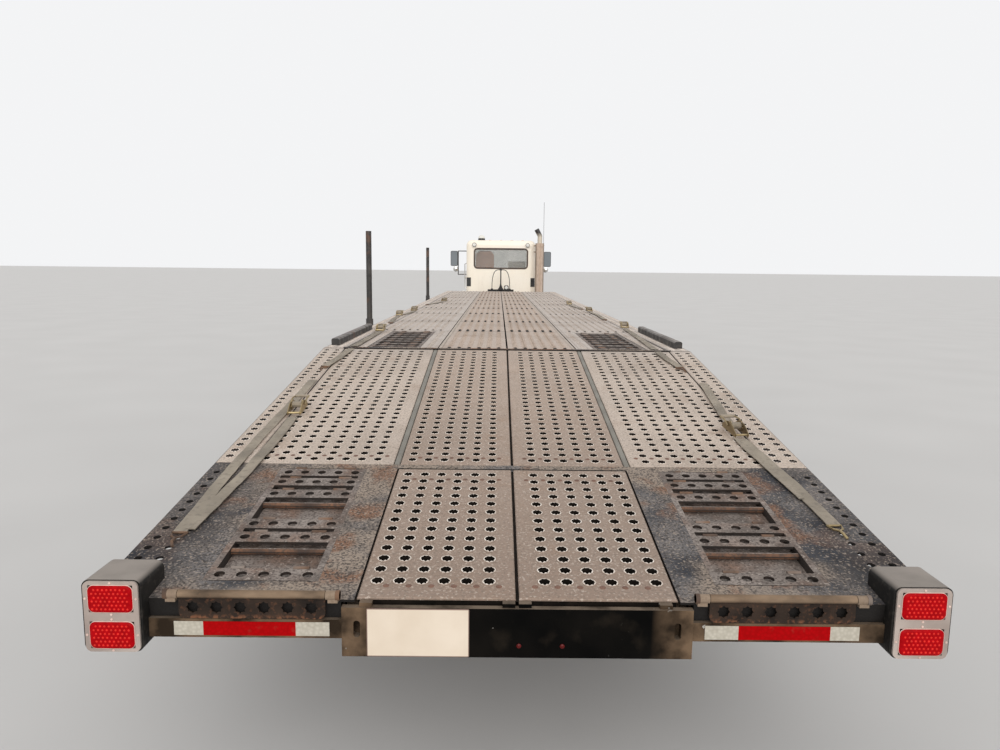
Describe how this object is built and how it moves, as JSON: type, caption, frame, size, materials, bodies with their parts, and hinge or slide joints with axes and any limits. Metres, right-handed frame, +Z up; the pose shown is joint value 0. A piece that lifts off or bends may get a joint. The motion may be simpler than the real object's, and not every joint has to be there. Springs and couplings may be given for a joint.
{
  "type": "articulated car transporter truck",
  "caption": "Day-cab tractor with a long flat perforated semi-trailer deck and a sloping loading tail.",
  "frame": {"origin": "ground level under the centre of the whole vehicle's bounding box", "axes": "+Y forward along the vehicle, +X to its right, +Z up"},
  "size_m": [2.88, 22.05, 3.75],
  "materials": {
    "cab_paint": "satin white paint",
    "frame_paint": "worn black paint",
    "tail_plate": "dirty black steel",
    "deck_steel": "sandy galvanised steel",
    "rusty_steel": "rusty steel",
    "wheel_tyre": "worn rubber",
    "chrome_trim": "polished",
    "bright_metal": "dull aluminium",
    "red_lens": "red lens",
    "clear_lens": "clear lens",
    "window": "tinted glass",
    "webbing": "woven strap",
    "seat_cloth": "seat cloth",
    "dark_plastic": "matte",
    "cast_parts": "rough cast",
    "mud_rubber": "matte rubber"
  },
  "bodies": {
    "trailer": {"main_beams": "frame_paint", "cross_members": "frame_paint", "side_rails": "frame_paint", "tail_frame": "tail_plate", "centre_panels": "deck_steel", "outer_panels": "deck_steel", "tread_grids": "rusty_steel", "rear_beam": "frame_paint", "lamp_boxes": "frame_paint", "tail_lamps": "red_lens", "edge_bars": "frame_paint", "tie_down_straps": "webbing", "landing_gear": "frame_paint", "trailer_axles": "cast_parts", "trailer_mud_flaps": "mud_rubber"},
    "tractor": {"chassis_rails": "frame_paint", "chassis_cross": "frame_paint", "fifth_wheel": "cast_parts", "fuel_tanks": "bright_metal", "side_boxes": "cab_paint", "bumper": "chrome_trim", "engine": "cast_parts", "radiator": "dark_plastic", "truck_axles": "cast_parts", "cab_floor": "cab_paint", "cab_back": "cab_paint", "cab_front": "cab_paint", "cab_sides": "cab_paint", "cab_roof": "cab_paint", "cab_glass": "window", "seats": "seat_cloth", "dashboard": "dark_plastic", "roof_fittings": "dark_plastic", "exhaust_stack": "chrome_trim", "pogo_stick": "frame_paint", "hose_left": "mud_rubber", "hose_right": "mud_rubber"},
    "flap_left_body": {"flap_left": "rusty_steel"},
    "door_left_body": {"door_left": "cab_paint", "door_glass_left": "window", "mirror_left": "chrome_trim"},
    "knuckle_left_body": {"knuckle_left": "cast_parts"},
    "front_wheel_left_body": {"front_wheel_left": "wheel_tyre"},
    "drive_wheel_rear_left_body": {"drive_wheel_rear_left": "wheel_tyre"},
    "trailer_wheel_rear_left_body": {"trailer_wheel_rear_left": "wheel_tyre"},
    "drive_wheel_front_left_body": {"drive_wheel_front_left": "wheel_tyre"},
    "trailer_wheel_front_left_body": {"trailer_wheel_front_left": "wheel_tyre"},
    "flap_right_body": {"flap_right": "rusty_steel"},
    "door_right_body": {"door_right": "cab_paint", "door_glass_right": "window", "mirror_right": "chrome_trim"},
    "knuckle_right_body": {"knuckle_right": "cast_parts"},
    "front_wheel_right_body": {"front_wheel_right": "wheel_tyre"},
    "drive_wheel_rear_right_body": {"drive_wheel_rear_right": "wheel_tyre"},
    "trailer_wheel_rear_right_body": {"trailer_wheel_rear_right": "wheel_tyre"},
    "drive_wheel_front_right_body": {"drive_wheel_front_right": "wheel_tyre"},
    "trailer_wheel_front_right_body": {"trailer_wheel_front_right": "wheel_tyre"},
    "hood_body": {"hood": "cab_paint", "grille": "chrome_trim", "headlamps": "clear_lens"}
  },
  "joints": [
    {"name": "articulation", "type": "hinge", "parent": "trailer", "child": "tractor", "pos_m": [0, 4.225, 1.12], "axis": [0, 0, 1], "range_deg": [-90, 90]},
    {"name": "steer_left", "type": "hinge", "parent": "tractor", "child": "knuckle_left_body", "pos_m": [-0.86, 9.825, 0.51], "axis": [0, 0, 1], "range_deg": [-35, 35]},
    {"name": "spin_front_left", "type": "hinge", "parent": "knuckle_left_body", "child": "front_wheel_left_body", "pos_m": [-1.02, 9.825, 0.51], "axis": [1, 0, 0], "continuous": true},
    {"name": "spin_drive_rear_left", "type": "hinge", "parent": "tractor", "child": "drive_wheel_rear_left_body", "pos_m": [-0.912, 3.415, 0.51], "axis": [1, 0, 0], "continuous": true},
    {"name": "spin_drive_front_left", "type": "hinge", "parent": "tractor", "child": "drive_wheel_front_left_body", "pos_m": [-0.912, 4.735, 0.51], "axis": [1, 0, 0], "continuous": true},
    {"name": "spin_trailer_rear_left", "type": "hinge", "parent": "trailer", "child": "trailer_wheel_rear_left_body", "pos_m": [-1, -6.895, 0.464], "axis": [1, 0, 0], "continuous": true},
    {"name": "spin_trailer_front_left", "type": "hinge", "parent": "trailer", "child": "trailer_wheel_front_left_body", "pos_m": [-1, -5.645, 0.464], "axis": [1, 0, 0], "continuous": true},
    {"name": "door_left_hinge", "type": "hinge", "parent": "tractor", "child": "door_left_body", "pos_m": [-0.968, 9.181, 1.6], "axis": [0, 0, -1], "range_deg": [0, 70]},
    {"name": "flap_left_hinge", "type": "hinge", "parent": "trailer", "child": "flap_left_body", "pos_m": [-0.792, -10.985, 0.928], "axis": [-1, 0, 0], "range_deg": [0, 110]},
    {"name": "steer_right", "type": "hinge", "parent": "tractor", "child": "knuckle_right_body", "pos_m": [0.86, 9.825, 0.51], "axis": [0, 0, 1], "range_deg": [-35, 35]},
    {"name": "spin_front_right", "type": "hinge", "parent": "knuckle_right_body", "child": "front_wheel_right_body", "pos_m": [1.02, 9.825, 0.51], "axis": [1, 0, 0], "continuous": true},
    {"name": "spin_drive_rear_right", "type": "hinge", "parent": "tractor", "child": "drive_wheel_rear_right_body", "pos_m": [0.912, 3.415, 0.51], "axis": [1, 0, 0], "continuous": true},
    {"name": "spin_drive_front_right", "type": "hinge", "parent": "tractor", "child": "drive_wheel_front_right_body", "pos_m": [0.912, 4.735, 0.51], "axis": [1, 0, 0], "continuous": true},
    {"name": "spin_trailer_rear_right", "type": "hinge", "parent": "trailer", "child": "trailer_wheel_rear_right_body", "pos_m": [1, -6.895, 0.464], "axis": [1, 0, 0], "continuous": true},
    {"name": "spin_trailer_front_right", "type": "hinge", "parent": "trailer", "child": "trailer_wheel_front_right_body", "pos_m": [1, -5.645, 0.464], "axis": [1, 0, 0], "continuous": true},
    {"name": "door_right_hinge", "type": "hinge", "parent": "tractor", "child": "door_right_body", "pos_m": [0.968, 9.181, 1.6], "axis": [0, 0, 1], "range_deg": [0, 70]},
    {"name": "flap_right_hinge", "type": "hinge", "parent": "trailer", "child": "flap_right_body", "pos_m": [0.792, -10.985, 0.928], "axis": [-1, 0, 0], "range_deg": [0, 110]},
    {"name": "hood_tilt", "type": "hinge", "parent": "tractor", "child": "hood_body", "pos_m": [0, 10.955, 0.815], "axis": [-1, 0, 0], "range_deg": [0, 75]}
  ],
  "couplings": [
    {"joint": "steer_right", "follows": "steer_left", "ratio": 1}
  ]
}
